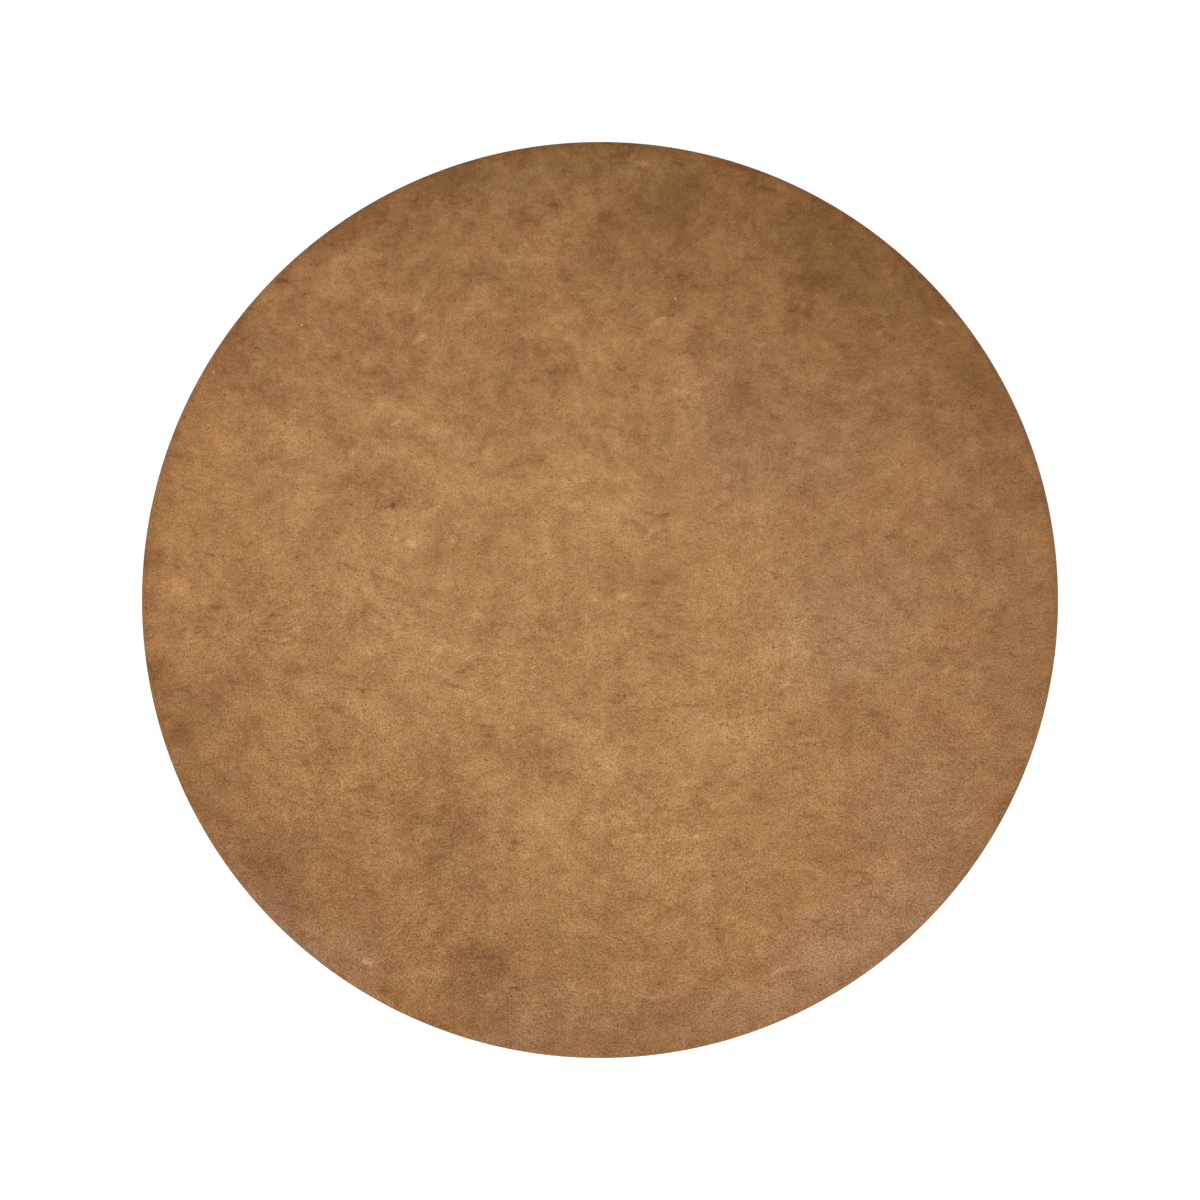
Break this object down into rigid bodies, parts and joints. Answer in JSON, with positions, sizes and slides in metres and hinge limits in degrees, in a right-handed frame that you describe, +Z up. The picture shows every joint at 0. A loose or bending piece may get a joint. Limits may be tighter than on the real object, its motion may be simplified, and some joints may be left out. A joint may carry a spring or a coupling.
{
  "type": "equipal table",
  "caption": "Round wooden table top in a stretched tan pigskin cover, standing on a waisted drum of crossed cedar slats held by bent hoops, hide thongs and hide cuffs.",
  "frame": {"origin": "on the floor, at the middle of the drum's foot", "axes": "+Z up through the middle of the table top; +X along the battens under the top; +Y along the joints between its planks, towards the top of the picture"},
  "size_m": [0.914, 0.914, 0.75],
  "materials": {
    "pigskin": "matte, fine grain, mottled tan with darker clouds and small pores",
    "pigskin_cuff": "matte, fine grain, tan, darker at the edges",
    "hide_thong": "dry cut thong, slightly shiny where it bends",
    "cedar_slat": "split and shaved, thin oil finish, long grain",
    "cedar_hoop": "steam bent strip, thin oil finish",
    "pine_board": "sawn, unfinished"
  },
  "bodies": {
    "root": {"hide_cover": "pigskin", "collar_cuff": "pigskin_cuff", "foot_cuff": "pigskin_cuff", "rim_hoop": "cedar_hoop", "top_plank_1": "pine_board", "top_plank_2": "pine_board", "top_plank_3": "pine_board", "top_plank_4": "pine_board", "top_plank_5": "pine_board", "batten_front": "pine_board", "batten_back": "pine_board", "fixing_block_front_left": "pine_board", "fixing_block_front_right": "pine_board", "fixing_block_back_left": "pine_board", "fixing_block_back_right": "pine_board", "collar_hoop_outer": "cedar_hoop", "collar_hoop_inner": "cedar_hoop", "waist_hoop": "cedar_hoop", "foot_hoop_outer": "cedar_hoop", "foot_hoop_inner": "cedar_hoop", "scissor_slat_right_1": "cedar_slat", "scissor_slat_right_2": "cedar_slat", "scissor_slat_right_3": "cedar_slat", "scissor_slat_right_4": "cedar_slat", "scissor_slat_right_5": "cedar_slat", "scissor_slat_right_6": "cedar_slat", "scissor_slat_right_7": "cedar_slat", "scissor_slat_right_8": "cedar_slat", "scissor_slat_right_9": "cedar_slat", "scissor_slat_right_10": "cedar_slat", "scissor_slat_left_1": "cedar_slat", "scissor_slat_left_2": "cedar_slat", "scissor_slat_left_3": "cedar_slat", "scissor_slat_left_4": "cedar_slat", "scissor_slat_left_5": "cedar_slat", "scissor_slat_left_6": "cedar_slat", "scissor_slat_left_7": "cedar_slat", "scissor_slat_left_8": "cedar_slat", "scissor_slat_left_9": "cedar_slat", "scissor_slat_left_10": "cedar_slat", "upright_1": "cedar_slat", "upright_2": "cedar_slat", "upright_3": "cedar_slat", "upright_4": "cedar_slat", "upright_5": "cedar_slat", "upright_6": "cedar_slat", "upright_7": "cedar_slat", "upright_8": "cedar_slat", "upright_9": "cedar_slat", "upright_10": "cedar_slat", "crossing_tie_1": "hide_thong", "crossing_tie_2": "hide_thong", "crossing_tie_3": "hide_thong", "crossing_tie_4": "hide_thong", "crossing_tie_5": "hide_thong", "crossing_tie_6": "hide_thong", "crossing_tie_7": "hide_thong", "crossing_tie_8": "hide_thong", "crossing_tie_9": "hide_thong", "crossing_tie_10": "hide_thong"}
  },
  "joints": []
}
